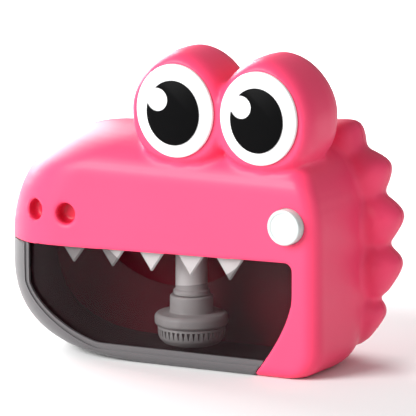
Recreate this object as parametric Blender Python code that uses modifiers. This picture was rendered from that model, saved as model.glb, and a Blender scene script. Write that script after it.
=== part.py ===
"""Bath bubble machine shaped as a dinosaur's head: pink two-part casing, grey lower jaw holding a
smoked tank, a foam nozzle hanging into the tank, a blower above it and a battery bay at the back.

Frame: +X from snout to nape, -Y towards the face with the eyes, +Z up. The origin lies on the
flat underside. Sizes are in metres, written as millimetres times MM.
"""
import math

import bmesh
import bpy
from mathutils import Matrix, Vector

MM = 0.001
GAP = 0.3 * MM  # clearance between pieces that touch
WALL = 2.5 * MM

# Casing, as horizontal sections between a snout edge and a nape edge
HALF_DEPTH = 47 * MM
SNOUT_CENTRE_X = -36 * MM
SNOUT_REACH = 79 * MM
SNOUT_WIDEST_Z = 65.8 * MM
CHIN_START_Z = 56.4 * MM
NAPE_CENTRE_X = 47 * MM
NAPE_REACH = 60.6 * MM
NAPE_START_Z = 75.2 * MM
NAPE_FOOT_RADIUS = 17 * MM
CROWN_Z = 138.2 * MM
TOP_EDGE_START_Z = 112 * MM
FOOT_RADIUS = 6 * MM
SNOUT_PLAN_RADIUS = 47 * MM
FRONT_CORNER_RADIUS = 10 * MM
BACK_CORNER_RADIUS = 35 * MM
HEEL_START_Z = 36 * MM  # below this height the back corner gets rounder
HEEL_GROWTH = 22 * MM
HEEL_POWER = 0.8
SEAM_Y = 26 * MM

# Mouth opening and lower jaw, in front view
MOUTH_Z = 67.3 * MM
MOUTH_Z_AT_X = -30 * MM
MOUTH_SLOPE = 0.025
MOUTH_RIGHT_X = 91.2 * MM
MOUTH_CORNER_RADIUS = 5 * MM
JAW_CURVE_START_Z = 50 * MM
JAW_CURVE_DROP = 23.5 * MM
JAW_CURVE_SPAN = 47 * MM
JAW_CURVE_POWER = 1.58
WINDOW_LEFT_X = -89 * MM
WINDOW_FOOT_Z = 10 * MM
WINDOW_CORNER_X = 51.5 * MM
WINDOW_CORNER_Z = 32 * MM
WINDOW_CORNER_POWER = 1.4
TANK_INSET = 2.8 * MM
TANK_WALL = 2 * MM
TANK_BACK_Y = 22.6 * MM
OUTLET_X = 11.3 * MM
OUTLET_LOW_Z = 49.2 * MM
OUTLET_RADIUS = 66.7 * MM
LINER_CEILING_Z = 71.6 * MM
LINER_WALL = 2.2 * MM

# Eyes
EYE_X = (14.1 * MM, 69.8 * MM)
EYE_Z = 155.4 * MM
EYE_HALF_WIDTH = 25.4 * MM
EYE_HALF_HEIGHT = 28 * MM
EYE_THICKNESS = 2.3 * MM
PUPIL_HALF_WIDTH = 17.4 * MM
PUPIL_HALF_HEIGHT = 19.4 * MM
PUPIL_THICKNESS = 0.6 * MM
HIGHLIGHT_RADIUS = 7 * MM
BULGE_Z = 154 * MM
BULGE_HALF_WIDTH = 33 * MM
BULGE_RISE = 37 * MM
BULGE_DROP = 33 * MM
BULGE_FRONT_Y = -46.5 * MM
BULGE_CROWN_Y = -18 * MM
BULGE_BACK_Y = 15 * MM
BULGE_FRONT_REACH = 32 * MM
BULGE_FRONT_POWER = 5
BULGE_TOP_POWER = 1.8
BULGE_FOOT_POWER = 2.5
BULGE_SIDES = 22

# Spikes along the nape: tip x, tip z and tilt of each axis in degrees
SPIKES = (
    (97.5, 143.5, 52),
    (118.5, 120.0, 24),
    (127.3, 90.4, 12),
    (126.6, 61.8, 12),
    (115.8, 31.6, 8),
)
SPIKE_TAPER = 0.75
SPIKE_TIP_ROUNDING = 5.5 * MM
SPIKE_HALF_DEPTH = 14.5 * MM
SPIKE_DOME = 16 * MM
SPIKE_BASE_RADIUS = 18 * MM
SPIKE_SIDES = 14
# Spike rings: distance from the tip, and the distance that sets the ring's width
SPIKE_RINGS = ((0.4, 0.4), (2, 2), (5, 5), (10, 10), (16, 16), (20, 17), (34, 12))

# Nostrils: x and turn of the surface in degrees
NOSTRILS = ((-61, 0), (-84, 19))
NOSTRIL_Z = 86.5 * MM
NOSTRIL_RADIUS = 6 * MM
NOSTRIL_DEPTH = 8.7 * MM
NOSTRIL_CUP_RADIUS = 8.4 * MM
NOSTRIL_CUP_DEPTH = 11.5 * MM

# Teeth
TOOTH_FIRST_X = -58 * MM
TOOTH_PITCH = 26.3 * MM
TOOTH_COUNT = 5
TOOTH_HALF_WIDTH = 9.8 * MM
TOOTH_TIP_Z = 56 * MM
TOOTH_TIP_STEP = 0.35 * MM  # each tooth reaches this much lower than the one before
TOOTH_BASE_Z = 69.4 * MM
TEETH_FRONT_Y = -41.6 * MM
TEETH_THICKNESS = 2 * MM

# Foam nozzle
NOZZLE_X = 4.7 * MM
NOZZLE_Y = -9.4 * MM
SLOT_COUNT = 20

# Power button
BUTTON_X = 88.4 * MM
BUTTON_Z = 92.5 * MM
BUTTON_RADIUS = 10.8 * MM

# Back panel
CUP_X = (-52 * MM, 55 * MM)
CUP_Z = (30 * MM, 92 * MM)
# Case screws: x, z and the y of the ledge under each head
CASE_SCREWS = ((-90, 82, 33), (-40, 112, 33), (90, 104, 33), (100.2, 44.3, 29))
BATTERY_RADIUS = 7.25 * MM
BATTERY_LENGTH = 50.5 * MM
BATTERY_PITCH = 15.2 * MM
BATTERY_Z = 60.8 * MM
BATTERY_Y = 35.7 * MM
BATTERY_X = 1 * MM
COVER_LOW = (-31 * MM, 50 * MM)
COVER_HIGH = (33 * MM, 108 * MM)


# ---------------------------------------------------------------- helpers
def clear_scene():
    for obj in list(bpy.data.objects):
        bpy.data.objects.remove(obj, do_unlink=True)
    for collection in list(bpy.data.collections):
        bpy.data.collections.remove(collection)


def make_collection(name):
    collection = bpy.data.collections.new(name)
    bpy.context.scene.collection.children.link(collection)
    return collection


def make_material(name, colour, roughness, metallic=0.0, alpha=1.0):
    material = bpy.data.materials.new(name)
    material.use_nodes = True
    shader = material.node_tree.nodes["Principled BSDF"]
    shader.inputs["Base Color"].default_value = (*colour, 1.0)
    shader.inputs["Roughness"].default_value = roughness
    shader.inputs["Metallic"].default_value = metallic
    shader.inputs["Alpha"].default_value = alpha
    return material


def object_from_bmesh(name, bm, material=None, location=(0, 0, 0)):
    """An object of the parts collection, or a hidden cutter when it has no material."""
    mesh = bpy.data.meshes.new(name)
    bmesh.ops.recalc_face_normals(bm, faces=bm.faces)
    bm.to_mesh(mesh)
    bm.free()
    obj = bpy.data.objects.new(name, mesh)
    obj.location = location
    if material is None:
        CUTTERS.objects.link(obj)
        obj.hide_render = True
        obj.display_type = "WIRE"
    else:
        PARTS.objects.link(obj)
        mesh.materials.append(material)
        mesh.shade_smooth()
        mesh.set_sharp_from_angle(angle=math.radians(35))
    return obj


def box(name, low, high, material=None, location=(0, 0, 0)):
    bm = bmesh.new()
    bmesh.ops.create_cube(bm, size=1)
    low, high = Vector(low), Vector(high)
    size = Matrix.Diagonal((*(high - low), 1))
    bmesh.ops.transform(bm, matrix=Matrix.Translation((low + high) / 2) @ size, verts=bm.verts)
    return object_from_bmesh(name, bm, material, location)


def axis_turn(axis):
    """The rotation that takes +Z to the given direction."""
    return Vector((0, 0, 1)).rotation_difference(Vector(axis)).to_matrix().to_4x4()


def cylinder(name, start, axis, length, radius, material=None, end_radius=None, segments=20):
    bm = bmesh.new()
    end_radius = radius if end_radius is None else end_radius
    bmesh.ops.create_cone(
        bm, cap_ends=True, segments=segments, radius1=radius, radius2=end_radius, depth=length
    )
    place = Matrix.Translation(start) @ axis_turn(axis) @ Matrix.Translation((0, 0, length / 2))
    bmesh.ops.transform(bm, matrix=place, verts=bm.verts)
    return object_from_bmesh(name, bm, material)


def elliptic_plate(name, centre, half_width, half_height, depth, material=None, segments=32):
    """An oval plate whose front and back lie across Y."""
    bm = bmesh.new()
    bmesh.ops.create_cone(bm, cap_ends=True, segments=segments, radius1=1, radius2=1, depth=1)
    scale = Matrix.Diagonal((half_width, half_height, depth, 1))
    turn = Matrix.Rotation(math.radians(90), 4, "X")
    bmesh.ops.transform(bm, matrix=Matrix.Translation(centre) @ turn @ scale, verts=bm.verts)
    return object_from_bmesh(name, bm, material)


def loft(name, rings, material=None):
    """A closed solid through rings that have equally many points."""
    bm = bmesh.new()
    rows = [[bm.verts.new(point) for point in ring] for ring in rings]
    count = len(rows[0])
    for lower, upper in zip(rows, rows[1:]):
        for i in range(count):
            j = (i + 1) % count
            bm.faces.new((lower[i], lower[j], upper[j], upper[i]))
    bm.faces.new(list(reversed(rows[0])))
    bm.faces.new(rows[-1])
    return object_from_bmesh(name, bm, material)


def prism(name, outline, front_y, back_y, material=None):
    """A flat outline of (x, z) points, pulled from front_y to back_y."""
    bm = bmesh.new()
    face = bm.faces.new([bm.verts.new((x, front_y, z)) for x, z in outline])
    pulled = bmesh.ops.extrude_face_region(bm, geom=[face])["geom"]
    moved = [item for item in pulled if isinstance(item, bmesh.types.BMVert)]
    bmesh.ops.translate(bm, verts=moved, vec=(0, back_y - front_y, 0))
    return object_from_bmesh(name, bm, material)


def turned(name, profile, base, axis, material, steps=24):
    """A closed (radius, height) profile turned about an axis through base."""
    pairs = list(zip(profile, profile[1:] + profile[:1]))
    if sum(a[0] * b[1] - b[0] * a[1] for a, b in pairs) > 0:
        profile = profile[::-1]  # the outer side has to run from top to bottom
    bm = bmesh.new()
    points = [bm.verts.new((radius, 0, height)) for radius, height in profile]
    for start, end in zip(points, points[1:] + points[:1]):
        if start.co.x > 1e-6 or end.co.x > 1e-6:
            bm.edges.new((start, end))
    mesh = bpy.data.meshes.new(name)
    bm.to_mesh(mesh)
    bm.free()
    obj = bpy.data.objects.new(name, mesh)
    PARTS.objects.link(obj)
    mesh.materials.append(material)
    obj.matrix_world = Matrix.Translation(base) @ axis_turn(axis)
    screw = obj.modifiers.new("Turn", "SCREW")
    screw.steps = steps
    screw.render_steps = steps
    screw.use_merge_vertices = True
    screw.merge_threshold = 0.00001
    return obj


def boolean(target, tool, operation="DIFFERENCE"):
    modifier = target.modifiers.new(tool.name, "BOOLEAN")
    modifier.operation = operation
    modifier.solver = "EXACT"
    modifier.object = tool
    return target


def cut(target, *tools):
    for tool in tools:
        boolean(target, tool)
    return target


def join(target, *tools):
    for tool in tools:
        boolean(target, tool, "UNION")
    return target


def bevel(obj, width, segments=1, angle=40):
    modifier = obj.modifiers.new("Edges", "BEVEL")
    modifier.width = width
    modifier.segments = segments
    modifier.limit_method = "ANGLE"
    modifier.angle_limit = math.radians(angle)
    return obj


def arc(centre, radius_x, radius_z, start, end, count):
    """Points of an arc between two angles in degrees, both ends included."""
    angles = [math.radians(start + (end - start) * i / count) for i in range(count + 1)]
    return [(centre[0] + radius_x * math.cos(a), centre[1] + radius_z * math.sin(a)) for a in angles]


def quarter(share, power):
    """Height of a unit superellipse quarter at the given share of its run."""
    return max(0.0, 1 - min(1.0, share) ** power) ** (1 / power)


# ---------------------------------------------------------------- casing form
def snout_edge(z, inset):
    reach = SNOUT_REACH - inset
    if z > SNOUT_WIDEST_Z:
        share = (z - SNOUT_WIDEST_Z) / (CROWN_Z - SNOUT_WIDEST_Z - inset)
        return SNOUT_CENTRE_X - reach * quarter(share, 2.2)
    share = max(0.0, CHIN_START_Z - z) / (CHIN_START_Z - inset)
    return SNOUT_CENTRE_X - reach * quarter(share, 2.6)


def nape_edge(z, inset):
    reach = NAPE_REACH - inset
    if z > NAPE_START_Z:
        share = (z - NAPE_START_Z) / (CROWN_Z - NAPE_START_Z - inset)
        return NAPE_CENTRE_X + reach * quarter(share, 3)
    if z < NAPE_FOOT_RADIUS:
        radius = NAPE_FOOT_RADIUS - inset
        share = (NAPE_FOOT_RADIUS - z) / radius
        return NAPE_CENTRE_X + NAPE_REACH - NAPE_FOOT_RADIUS + radius * quarter(share, 2)
    return NAPE_CENTRE_X + reach


def half_depth(z, inset):
    if z > TOP_EDGE_START_Z:
        share = (z - TOP_EDGE_START_Z) / (CROWN_Z - TOP_EDGE_START_Z - inset)
        return (HALF_DEPTH - inset) * quarter(share, 2)
    if z < FOOT_RADIUS:
        radius = FOOT_RADIUS - inset
        return HALF_DEPTH - FOOT_RADIUS + radius * quarter((FOOT_RADIUS - z) / radius, 2)
    return HALF_DEPTH - inset


def casing_levels(inset):
    foot = [FOOT_RADIUS - (FOOT_RADIUS - inset) * math.cos(math.radians(a)) for a in (0, 35, 65, 90)]
    side = [z * MM for z in (11, 17, 27, 40, 55, 67, 84, 99)]
    rise = CROWN_Z - TOP_EDGE_START_Z - inset
    top = [TOP_EDGE_START_Z + rise * math.sin(math.radians(a)) for a in (0, 18, 36, 54, 70, 82)]
    return foot + side + top


def casing_section(z, inset):
    left, right, depth = snout_edge(z, inset), nape_edge(z, inset), half_depth(z, inset)
    flat = depth / (HALF_DEPTH - inset)
    snout = SNOUT_PLAN_RADIUS - inset
    heel = HEEL_GROWTH * max(0.0, 1 - z / HEEL_START_Z) ** HEEL_POWER
    front, back = FRONT_CORNER_RADIUS - inset, BACK_CORNER_RADIUS + heel - inset
    points = arc((left + snout, 0), snout, depth, 90, 270, 10)
    points += arc((right - front, -depth + front * flat), front, front * flat, -90, 0, 3)
    points += arc((right - back, depth - back * flat), back, back * flat, 0, 90, 4)
    return [(x, y, z) for x, y in points]


def casing_solid(name, inset, material=None):
    return loft(name, [casing_section(z, inset) for z in casing_levels(inset)], material)


def bulge_solid(name, centre_x, inset):
    rings = []
    front, back = BULGE_FRONT_Y + inset, BULGE_BACK_Y - inset
    stations = [front, front + 2 * MM, front + 6 * MM, -32 * MM, BULGE_CROWN_Y]
    stations += [BULGE_CROWN_Y + (back - BULGE_CROWN_Y) * share for share in (0.45, 0.75, 0.93)]
    for y in stations:
        if y < BULGE_CROWN_Y:
            size = quarter((BULGE_CROWN_Y - y) / BULGE_FRONT_REACH, BULGE_FRONT_POWER)
        else:
            size = quarter((y - BULGE_CROWN_Y) / (back - BULGE_CROWN_Y), 2)
        ring = []
        for i in range(BULGE_SIDES):
            angle = math.tau * i / BULGE_SIDES
            top = math.sin(angle) > 0
            bend = 2 / (BULGE_TOP_POWER if top else BULGE_FOOT_POWER)
            across = math.copysign(abs(math.cos(angle)) ** bend, math.cos(angle))
            along = math.copysign(abs(math.sin(angle)) ** bend, math.sin(angle))
            half_height = (BULGE_RISE if top else BULGE_DROP) - inset
            x = centre_x + (BULGE_HALF_WIDTH - inset) * size * across
            ring.append((x, y, BULGE_Z + half_height * size * along))
        rings.append(ring)
    return loft(name, rings)


def spike_solid(name, tip_x, tip_z, tilt, inset):
    """A domed cone seated deep in the casing; inset moves its skin inwards."""
    outward = Vector((math.cos(tilt), 0, math.sin(tilt)))
    upward = Vector((-math.sin(tilt), 0, math.cos(tilt)))
    tip = Vector((tip_x, SEAM_Y, tip_z)) - outward * inset * 1.4
    narrowing = 1 - inset / SPIKE_BASE_RADIUS
    rings = []
    for depth, spread in SPIKE_RINGS:
        spread *= MM
        half_height = math.sqrt(SPIKE_TAPER * spread ** 2 + 2 * SPIKE_TIP_ROUNDING * spread) * narrowing
        half_depth_here = SPIKE_HALF_DEPTH * quarter(1 - min(1.0, spread / SPIKE_DOME), 2) * narrowing
        ring = []
        for i in range(SPIKE_SIDES):
            angle = math.tau * (i + 0.5) / SPIKE_SIDES
            side = Vector((0, half_depth_here * math.cos(angle), 0))
            ring.append(tip - outward * depth * MM + side + upward * half_height * math.sin(angle))
        rings.append(ring)
    return loft(name, rings)


def mouth_line(x):
    return MOUTH_Z + (x - MOUTH_Z_AT_X) * MOUTH_SLOPE


def jaw_edge(z):
    """The mouth's rear edge in front view."""
    below = max(0.0, JAW_CURVE_START_Z - z)
    return MOUTH_RIGHT_X - JAW_CURVE_DROP * (below / JAW_CURVE_SPAN) ** JAW_CURVE_POWER


def jaw_outline(inset, top=None):
    """(x, z) outline of everything below the mouth line and in front of its rear edge."""
    far_left = -140 * MM
    radius = MOUTH_CORNER_RADIUS
    right = MOUTH_RIGHT_X - inset
    if top is None:
        corner = (right - radius, mouth_line(right - radius) - inset - radius)
        points = [(far_left, mouth_line(far_left) - inset)] + arc(corner, radius, radius, 90, 0, 3)
    else:
        points = [(far_left, top), (right, top)]
    for z in (50, 40, 30, 20, 10, 0, -8):
        points.append((jaw_edge(z * MM) - inset, z * MM))
    points.append((far_left, -8 * MM))
    return points


# ---------------------------------------------------------------- casing pieces
def shell_inside(name, half):
    """The hollow of one casing half, less the posts and cups that stand in it."""
    hollow = casing_solid(name, WALL)
    if half == "front":
        for i, x in enumerate(EYE_X):
            join(hollow, bulge_solid(f"{name}_bulge_{i}", x, WALL))
    for i, (x, z, tilt) in enumerate(SPIKES):
        join(hollow, spike_solid(f"{name}_spike_{i}", x * MM, z * MM, math.radians(tilt), WALL))
    for i, (x, z, _) in enumerate(CASE_SCREWS):
        if half == "front":
            cut(hollow, *front_post(f"front_post_{i}", x * MM, z * MM))
        else:
            boss = cylinder(
                f"rear_boss_{i}", (x * MM, SEAM_Y - 1 * MM, z * MM), (0, 1, 0), 40 * MM, 5 * MM, segments=12
            )
            cut(hollow, boss)
    return hollow


def front_post(name, x, z):
    """A screw post and the rib that ties it to the nearest wall."""
    post = cylinder(name, (x, 8 * MM, z), (0, 1, 0), 30 * MM, 4 * MM, segments=12)
    thin = 1 * MM
    if x < -60 * MM:
        rib = box(name + "_rib", (x - 30 * MM, 9 * MM, z - thin), (x, 37 * MM, z + thin))
    elif x < 0:
        rib = box(name + "_rib", (x - thin, 9 * MM, z), (x + thin, 37 * MM, z + 40 * MM))
    else:
        rib = box(name + "_rib", (x, 9 * MM, z - thin), (x + 30 * MM, 37 * MM, z + thin))
    return post, rib


def casing_blank(name, material):
    blank = casing_solid(name, 0, material)
    for i, (x, z, tilt) in enumerate(SPIKES):
        join(blank, spike_solid(f"{name}_spike_{i}", x * MM, z * MM, math.radians(tilt), 0))
    return blank


def nostril_frame(x, turn):
    """The centre of a nostril on the casing's skin and the way it faces."""
    facing = Vector((-math.sin(math.radians(turn)), -math.cos(math.radians(turn)), 0))
    start_x = SNOUT_CENTRE_X - SNOUT_REACH + SNOUT_PLAN_RADIUS
    y = -HALF_DEPTH
    if turn:
        y *= math.sqrt(1 - ((x * MM - start_x) / SNOUT_PLAN_RADIUS) ** 2)
    return Vector((x * MM, y, NOSTRIL_Z)), facing


def nostril_tool(name, centre, facing):
    """A pit with a dished rim, as one cutter."""
    turn = axis_turn(facing).to_3x3()
    rings = []
    for height, radius in ((-NOSTRIL_DEPTH, NOSTRIL_RADIUS), (-0.9 * MM, NOSTRIL_RADIUS), (2 * MM, 10 * MM)):
        ring = []
        for i in range(14):
            angle = math.tau * (i + 0.3) / 14
            ring.append(centre + turn @ Vector((radius * math.cos(angle), radius * math.sin(angle), height)))
        rings.append(ring)
    return loft(name, rings)


def make_front_shell():
    shell = casing_blank("front_shell", PINK)
    for i, x in enumerate(EYE_X):
        join(shell, bulge_solid(f"bulge_{i}", x, 0))
    hollow = shell_inside("front_hollow", "front")
    for i, (x, turn) in enumerate(NOSTRILS):
        centre, facing = nostril_frame(x, turn)
        cup = cylinder(
            f"nostril_cup_{i}", centre - facing * NOSTRIL_CUP_DEPTH, facing, NOSTRIL_CUP_DEPTH + 1 * MM,
            NOSTRIL_CUP_RADIUS, segments=14,
        )
        cut(hollow, cup)
    for i, z in enumerate((78, 102)):
        post = cylinder(
            f"board_post_{i}", (70 * MM, -46 * MM, z * MM + 2 * MM), (0, 1, 0), 12.9 * MM, 2.5 * MM,
            segments=10,
        )
        cut(hollow, post)
    cut(shell, hollow)
    for i, (x, turn) in enumerate(NOSTRILS):
        centre, facing = nostril_frame(x, turn)
        cut(shell, nostril_tool(f"nostril_{i}", centre, facing))
    button_hole = cylinder(
        "button_hole", (BUTTON_X, -60 * MM, BUTTON_Z), (0, 1, 0), 20 * MM, BUTTON_RADIUS + GAP, segments=28
    )
    pocket = cylinder(
        "button_pocket", (BUTTON_X, -44.4 * MM, BUTTON_Z), (0, 1, 0), 8 * MM, 13.4 * MM, segments=28
    )
    mouth = prism("mouth_cutter", jaw_outline(0), -70 * MM, 60 * MM)
    rear = box("rear_cutter", (-150 * MM, SEAM_Y - GAP / 2, -10 * MM), (160 * MM, 80 * MM, 220 * MM))
    cut(shell, button_hole, pocket, mouth)
    for i, (x, z, _) in enumerate(CASE_SCREWS):
        pilot = cylinder(f"pilot_{i}", (x * MM, 14 * MM, z * MM), (0, 1, 0), 20 * MM, 1.7 * MM, segments=8)
        cut(shell, pilot)
    cut(shell, rear)
    return shell


def slot_row(name, centre_x, centre_z):
    """Five upright slots through the back panel, as one comb of cutters."""
    slots = []
    for i in range(5):
        x = centre_x + (i - 2) * 4.6 * MM
        low = (x - 1 * MM, 40 * MM, centre_z - 9 * MM)
        slots.append(box(f"{name}_{i}", low, (x + 1 * MM, 60 * MM, centre_z + 9 * MM)))
    return slots


def make_rear_shell():
    shell = casing_blank("rear_shell", PINK)
    hollow = shell_inside("rear_hollow", "rear")
    cut(shell, hollow)
    front = box("front_cutter", (-150 * MM, -80 * MM, -10 * MM), (160 * MM, SEAM_Y + GAP / 2, 220 * MM))
    bay = box(
        "bay_cutter",
        (COVER_LOW[0] - 0.4 * MM, 40 * MM, COVER_LOW[1] - 0.4 * MM),
        (COVER_HIGH[0] + 0.4 * MM, 60 * MM, COVER_HIGH[1] + 0.4 * MM),
    )
    cut(shell, front, bay)
    for i, (x, z, ledge) in enumerate(CASE_SCREWS):
        wide = cylinder(
            f"screw_well_{i}", (x * MM, ledge * MM, z * MM), (0, 1, 0), 30 * MM, 3.4 * MM, segments=12
        )
        narrow = cylinder(
            f"screw_way_{i}", (x * MM, 20 * MM, z * MM), (0, 1, 0), 20 * MM, 1.8 * MM, segments=10
        )
        cut(shell, wide, narrow)
    for x in CUP_X:
        for z in CUP_Z:
            hole = cylinder(
                f"cup_hole_{x:.3f}_{z:.3f}", (x, 38 * MM, z), (0, 1, 0), 20 * MM, 3 * MM, segments=12
            )
            cut(shell, hole)
        cut(shell, *slot_row(f"slot_{x:.3f}", x, sum(CUP_Z) / 2))
    return shell


def make_jaw_shell():
    jaw = casing_solid("jaw_shell", 0, JAW_GREY)
    inside = casing_solid("jaw_hollow", WALL)
    keep = prism("jaw_keeper", jaw_outline(GAP), -70 * MM, SEAM_Y - GAP)
    corner = (WINDOW_LEFT_X + WINDOW_CORNER_X, WINDOW_FOOT_Z + WINDOW_CORNER_Z)
    bend = 2 / WINDOW_CORNER_POWER
    outline = [(WINDOW_LEFT_X, 90 * MM)]
    for i in range(8):
        angle = math.radians(90 * i / 7)
        x = corner[0] - WINDOW_CORNER_X * math.cos(angle) ** bend
        outline.append((x, corner[1] - WINDOW_CORNER_Z * math.sin(angle) ** bend))
    outline += [(120 * MM, WINDOW_FOOT_Z), (120 * MM, 90 * MM)]
    window = prism("window_cutter", outline, -70 * MM, -20 * MM)
    cut(jaw, inside)
    boolean(jaw, keep, "INTERSECT")
    cut(jaw, window)
    return jaw


def make_tank():
    tank = casing_solid("tank", TANK_INSET, SMOKE)
    keep = prism("tank_keeper", jaw_outline(GAP), -70 * MM, TANK_BACK_Y)
    inside = casing_solid("tank_hollow", TANK_INSET + TANK_WALL)
    room = prism("tank_room", jaw_outline(GAP + TANK_WALL, 90 * MM), -70 * MM, TANK_BACK_Y - TANK_WALL)
    boolean(inside, room, "INTERSECT")
    outlet = cylinder(
        "outlet_cutter", (OUTLET_X, -70 * MM, OUTLET_LOW_Z + OUTLET_RADIUS), (0, 1, 0), 45 * MM,
        OUTLET_RADIUS, segments=72,
    )
    boolean(tank, keep, "INTERSECT")
    cut(tank, inside, outlet)
    return tank


def make_mouth_liner():
    """Ceiling, rear wall and right wall that keep the wet mouth apart from the dry head."""
    liner = casing_solid("mouth_liner", TANK_INSET, MAROON)
    right = MOUTH_RIGHT_X + LINER_WALL
    keep = box(
        "liner_keeper", (-150 * MM, -80 * MM, -10 * MM),
        (right + LINER_WALL, TANK_BACK_Y + 0.4 * MM + LINER_WALL, LINER_CEILING_Z + LINER_WALL),
    )
    room = box(
        "liner_room", (-150 * MM, -80 * MM, -20 * MM), (right, TANK_BACK_Y + 0.4 * MM, LINER_CEILING_Z)
    )
    hole = cylinder("tube_hole", (NOZZLE_X, NOZZLE_Y, 60 * MM), (0, 0, 1), 30 * MM, 10 * MM)
    boolean(liner, keep, "INTERSECT")
    cut(liner, room, hole)
    return liner


def make_teeth():
    outline = []
    top = LINER_CEILING_Z - GAP
    for i in range(TOOTH_COUNT):
        x = TOOTH_FIRST_X + TOOTH_PITCH * i
        tip = (x, TOOTH_TIP_Z - TOOTH_TIP_STEP * i)
        outline += [(x - TOOTH_HALF_WIDTH, TOOTH_BASE_Z), tip, (x + TOOTH_HALF_WIDTH, TOOTH_BASE_Z)]
    outline += [(outline[-1][0] + 4 * MM, TOOTH_BASE_Z), (outline[-1][0] + 4 * MM, top)]
    outline += [(outline[0][0] - 4 * MM, top), (outline[0][0] - 4 * MM, TOOTH_BASE_Z)]
    strip = prism("teeth_strip", outline, TEETH_FRONT_Y, TEETH_FRONT_Y + TEETH_THICKNESS, TOOTH_WHITE)
    return bevel(strip, 0.5 * MM)


# ---------------------------------------------------------------- eyes and button
def make_eyes():
    white_front = BULGE_FRONT_Y - GAP - EYE_THICKNESS
    for side, x in zip(("left", "right"), EYE_X):
        centre = (x, BULGE_FRONT_Y - GAP - EYE_THICKNESS / 2, EYE_Z)
        white = elliptic_plate(
            f"eye_white_{side}", centre, EYE_HALF_WIDTH, EYE_HALF_HEIGHT, EYE_THICKNESS, WHITE
        )
        bevel(white, 0.6 * MM, 1, 60)
        middle = (x - 0.6 * MM, white_front - GAP - PUPIL_THICKNESS / 2, EYE_Z - 1.1 * MM)
        pupil = elliptic_plate(
            f"eye_pupil_{side}", middle, PUPIL_HALF_WIDTH, PUPIL_HALF_HEIGHT, PUPIL_THICKNESS, BLACK
        )
        bite = cylinder(
            f"highlight_{side}", (middle[0] - 10.5 * MM, -60 * MM, middle[2] + 7.4 * MM), (0, 1, 0),
            20 * MM, HIGHLIGHT_RADIUS,
        )
        cut(pupil, bite)


def make_button():
    """Push cap with a flange behind the casing, its seal, spring, switch and board."""
    base = (BUTTON_X, 0, BUTTON_Z)
    front = -52.6 * MM
    flange_front, flange_back, stem_end = -42.9 * MM, -41.4 * MM, -39.4 * MM
    radius = BUTTON_RADIUS
    profile = [
        (0, -stem_end), (2.5 * MM, -stem_end), (2.5 * MM, -flange_back), (12.2 * MM, -flange_back),
        (12.2 * MM, -flange_front), (radius, -flange_front), (radius, -front - 1.2 * MM),
        (radius - 1.2 * MM, -front), (radius - 2.2 * MM, -front), (radius - 2.6 * MM, -front - 0.5 * MM),
        (0, -front - 0.5 * MM),
    ]
    turned("power_button", profile, base, (0, -1, 0), WHITE, 28)
    seal = [(11.5 * MM, 43.2 * MM), (12.9 * MM, 43.2 * MM), (12.9 * MM, 44.1 * MM), (11.5 * MM, 44.1 * MM)]
    turned("button_seal", seal, base, (0, -1, 0), RUBBER, 20)
    make_spring("button_spring", (BUTTON_X, -41 * MM, BUTTON_Z), 6 * MM, 0.35 * MM, 6 * MM, 3)
    switch = box(
        "tact_switch", (BUTTON_X - 3 * MM, -36.6 * MM, BUTTON_Z - 3 * MM),
        (BUTTON_X + 3 * MM, -33.1 * MM, BUTTON_Z + 3 * MM), BLACK,
    )
    plunger = cylinder(
        "switch_plunger", (BUTTON_X, -37.6 * MM, BUTTON_Z), (0, 1, 0), 2 * MM, 1.6 * MM, segments=10
    )
    join(switch, plunger)
    board = box("control_board", (62 * MM, -32.8 * MM, 76 * MM), (98 * MM, -31.2 * MM, 108 * MM), BOARD_GREEN)
    chip = box("chip", (70 * MM, -31.4 * MM, 86 * MM), (80 * MM, -29 * MM, 96 * MM))
    capacitor = cylinder("capacitor", (94 * MM, -31.4 * MM, 84 * MM), (0, 1, 0), 8 * MM, 3 * MM, segments=12)
    join(board, chip, capacitor)


def make_spring(name, start, coil_radius, wire_radius, length, turns):
    """A coil along +Y as a bevelled curve."""
    curve = bpy.data.curves.new(name, "CURVE")
    curve.dimensions = "3D"
    curve.bevel_depth = wire_radius
    curve.bevel_resolution = 0
    curve.use_fill_caps = True
    steps = 12 * turns
    spline = curve.splines.new("POLY")
    spline.points.add(steps)
    for i, point in enumerate(spline.points):
        angle = math.tau * i * turns / steps
        x = coil_radius * math.cos(angle)
        point.co = (x, length * i / steps, coil_radius * math.sin(angle), 1)
    obj = bpy.data.objects.new(name, curve)
    obj.location = start
    curve.materials.append(STEEL)
    PARTS.objects.link(obj)
    return obj


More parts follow.
